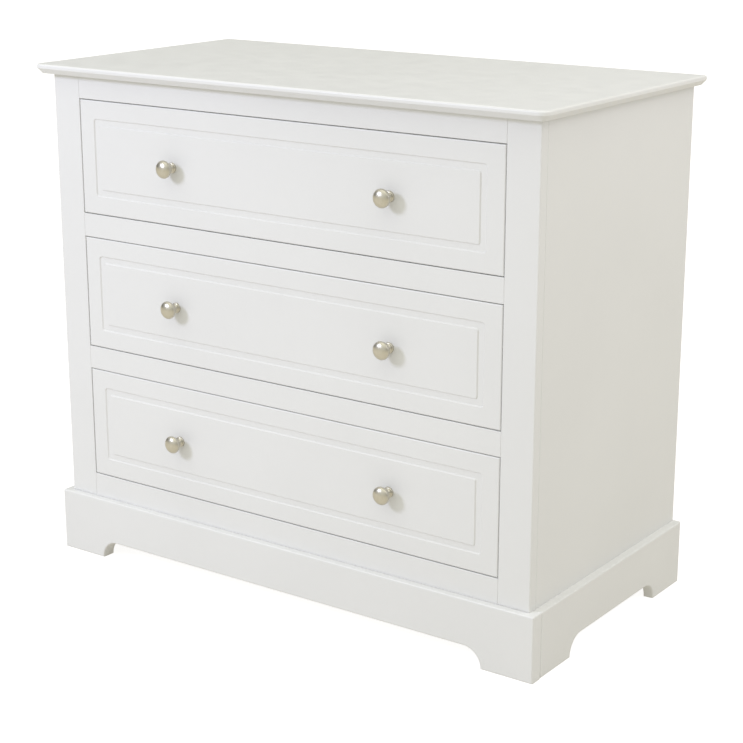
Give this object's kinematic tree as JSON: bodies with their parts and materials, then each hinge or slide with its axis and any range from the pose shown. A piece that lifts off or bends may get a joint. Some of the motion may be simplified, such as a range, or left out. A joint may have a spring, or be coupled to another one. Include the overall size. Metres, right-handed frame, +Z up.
{
  "type": "chest of drawers",
  "caption": "White painted chest with inset drawers on roller runners, turned metal knobs, a bevelled overhanging top and a plinth with bracket feet.",
  "frame": {"origin": "on the floor, under the middle of the overall box, knobs included", "axes": "+X to the viewer's right along the width, +Y to the back, +Z up"},
  "size_m": [0.994, 0.513, 0.872],
  "materials": {
    "white_paint": "satin white lacquer",
    "white_board": "white melamine",
    "drawer_board": "white melamine with fine texture",
    "thin_board": "white faced hardboard",
    "raw_wood": "unfinished softwood",
    "knob_nickel": "satin nickel",
    "runner_steel": "white epoxy coating",
    "roller_nylon": "natural nylon",
    "screw_steel": "zinc plated"
  },
  "bodies": {
    "carcase": {"back_panel": "thin_board", "back_screws": "screw_steel", "bottom_panel": "white_board", "bottom_rail": "white_paint", "front_stretcher": "white_board", "lower_cabinet_runners": "runner_steel", "lower_mid_rail": "white_paint", "middle_cabinet_runners": "runner_steel", "plinth_back": "white_board", "plinth_blocks": "raw_wood", "plinth_front": "white_paint", "plinth_left": "white_paint", "plinth_right": "white_paint", "rail_dowels": "raw_wood", "rear_stretcher": "white_board", "runner_posts_left": "raw_wood", "runner_posts_right": "raw_wood", "runner_screws": "screw_steel", "side_panel_left": "white_paint", "side_panel_right": "white_paint", "stile_left": "white_paint", "stile_right": "white_paint", "top_panel": "white_paint", "top_rail": "white_paint", "top_screws": "screw_steel", "upper_cabinet_runners": "runner_steel", "upper_mid_rail": "white_paint"},
    "lower_drawer": {"lower_drawer_back": "drawer_board", "lower_drawer_bottom": "thin_board", "lower_drawer_front": "white_paint", "lower_drawer_runners": "runner_steel", "lower_drawer_side_left": "drawer_board", "lower_drawer_side_right": "drawer_board", "lower_knob_left": "knob_nickel", "lower_knob_right": "knob_nickel", "lower_knob_screws": "screw_steel"},
    "lower_rear_roller_pair": {"lower_rear_rollers": "roller_nylon"},
    "lower_front_roller_pair": {"lower_front_rollers": "roller_nylon"},
    "middle_drawer": {"middle_drawer_back": "drawer_board", "middle_drawer_bottom": "thin_board", "middle_drawer_front": "white_paint", "middle_drawer_runners": "runner_steel", "middle_drawer_side_left": "drawer_board", "middle_drawer_side_right": "drawer_board", "middle_knob_left": "knob_nickel", "middle_knob_right": "knob_nickel", "middle_knob_screws": "screw_steel"},
    "middle_rear_roller_pair": {"middle_rear_rollers": "roller_nylon"},
    "middle_front_roller_pair": {"middle_front_rollers": "roller_nylon"},
    "upper_drawer": {"upper_drawer_back": "drawer_board", "upper_drawer_bottom": "thin_board", "upper_drawer_front": "white_paint", "upper_drawer_runners": "runner_steel", "upper_drawer_side_left": "drawer_board", "upper_drawer_side_right": "drawer_board", "upper_knob_left": "knob_nickel", "upper_knob_right": "knob_nickel", "upper_knob_screws": "screw_steel"},
    "upper_rear_roller_pair": {"upper_rear_rollers": "roller_nylon"},
    "upper_front_roller_pair": {"upper_front_rollers": "roller_nylon"}
  },
  "joints": [
    {"name": "lower_drawer_slide", "type": "slide", "parent": "carcase", "child": "lower_drawer", "axis": [0, -1, 0], "range_m": [0, 0.34]},
    {"name": "lower_rear_rollers_spin", "type": "hinge", "parent": "lower_drawer", "child": "lower_rear_roller_pair", "pos_m": [0, 0.2145, 0.176], "axis": [1, 0, 0], "continuous": true},
    {"name": "lower_front_rollers_spin", "type": "hinge", "parent": "carcase", "child": "lower_front_roller_pair", "pos_m": [0, -0.1955, 0.1777], "axis": [1, 0, 0], "continuous": true},
    {"name": "middle_drawer_slide", "type": "slide", "parent": "carcase", "child": "middle_drawer", "axis": [0, -1, 0], "range_m": [0, 0.34]},
    {"name": "middle_rear_rollers_spin", "type": "hinge", "parent": "middle_drawer", "child": "middle_rear_roller_pair", "pos_m": [0, 0.2145, 0.411], "axis": [1, 0, 0], "continuous": true},
    {"name": "middle_front_rollers_spin", "type": "hinge", "parent": "carcase", "child": "middle_front_roller_pair", "pos_m": [0, -0.1955, 0.4127], "axis": [1, 0, 0], "continuous": true},
    {"name": "upper_drawer_slide", "type": "slide", "parent": "carcase", "child": "upper_drawer", "axis": [0, -1, 0], "range_m": [0, 0.34]},
    {"name": "upper_rear_rollers_spin", "type": "hinge", "parent": "upper_drawer", "child": "upper_rear_roller_pair", "pos_m": [0, 0.2145, 0.646], "axis": [1, 0, 0], "continuous": true},
    {"name": "upper_front_rollers_spin", "type": "hinge", "parent": "carcase", "child": "upper_front_roller_pair", "pos_m": [0, -0.1955, 0.6477], "axis": [1, 0, 0], "continuous": true}
  ],
  "couplings": [
    {"joint": "lower_rear_rollers_spin", "follows": "lower_drawer_slide", "rad_per_m": 142.86},
    {"joint": "lower_front_rollers_spin", "follows": "lower_drawer_slide", "rad_per_m": 142.86},
    {"joint": "middle_rear_rollers_spin", "follows": "middle_drawer_slide", "rad_per_m": 142.86},
    {"joint": "middle_front_rollers_spin", "follows": "middle_drawer_slide", "rad_per_m": 142.86},
    {"joint": "upper_rear_rollers_spin", "follows": "upper_drawer_slide", "rad_per_m": 142.86},
    {"joint": "upper_front_rollers_spin", "follows": "upper_drawer_slide", "rad_per_m": 142.86}
  ]
}
